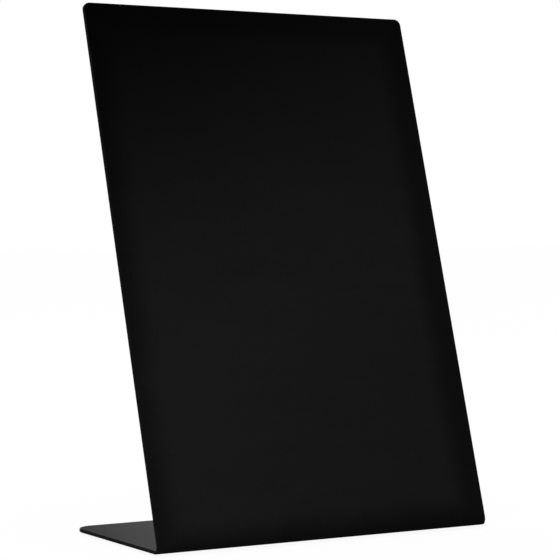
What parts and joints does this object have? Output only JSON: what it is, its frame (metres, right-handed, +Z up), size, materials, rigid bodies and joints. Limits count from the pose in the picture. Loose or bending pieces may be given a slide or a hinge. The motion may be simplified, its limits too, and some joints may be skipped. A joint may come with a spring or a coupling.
{
  "type": "tabletop chalkboard",
  "caption": "Portrait tabletop chalkboard: a folded black steel sheet leans back over its own base, with a matt writing face and rubber feet.",
  "frame": {"origin": "on the table, under the middle of the footprint", "axes": "+Z up; the writing face looks towards -Y and leans back towards +Y, and the base runs back along +Y; +X is to the right of someone who looks at the writing face"},
  "size_m": [0.15, 0.0746, 0.2114],
  "materials": {
    "powder_coat": "black satin powder coat on folded steel sheet",
    "chalk_face": "dead matt black chalk film with fine tooth",
    "foot_rubber": "moulded matt rubber"
  },
  "bodies": {
    "root": {"support_sheet": "powder_coat", "chalk_film": "chalk_face", "foot_front_left": "foot_rubber", "foot_front_right": "foot_rubber", "foot_rear_left": "foot_rubber", "foot_rear_right": "foot_rubber"}
  },
  "joints": []
}
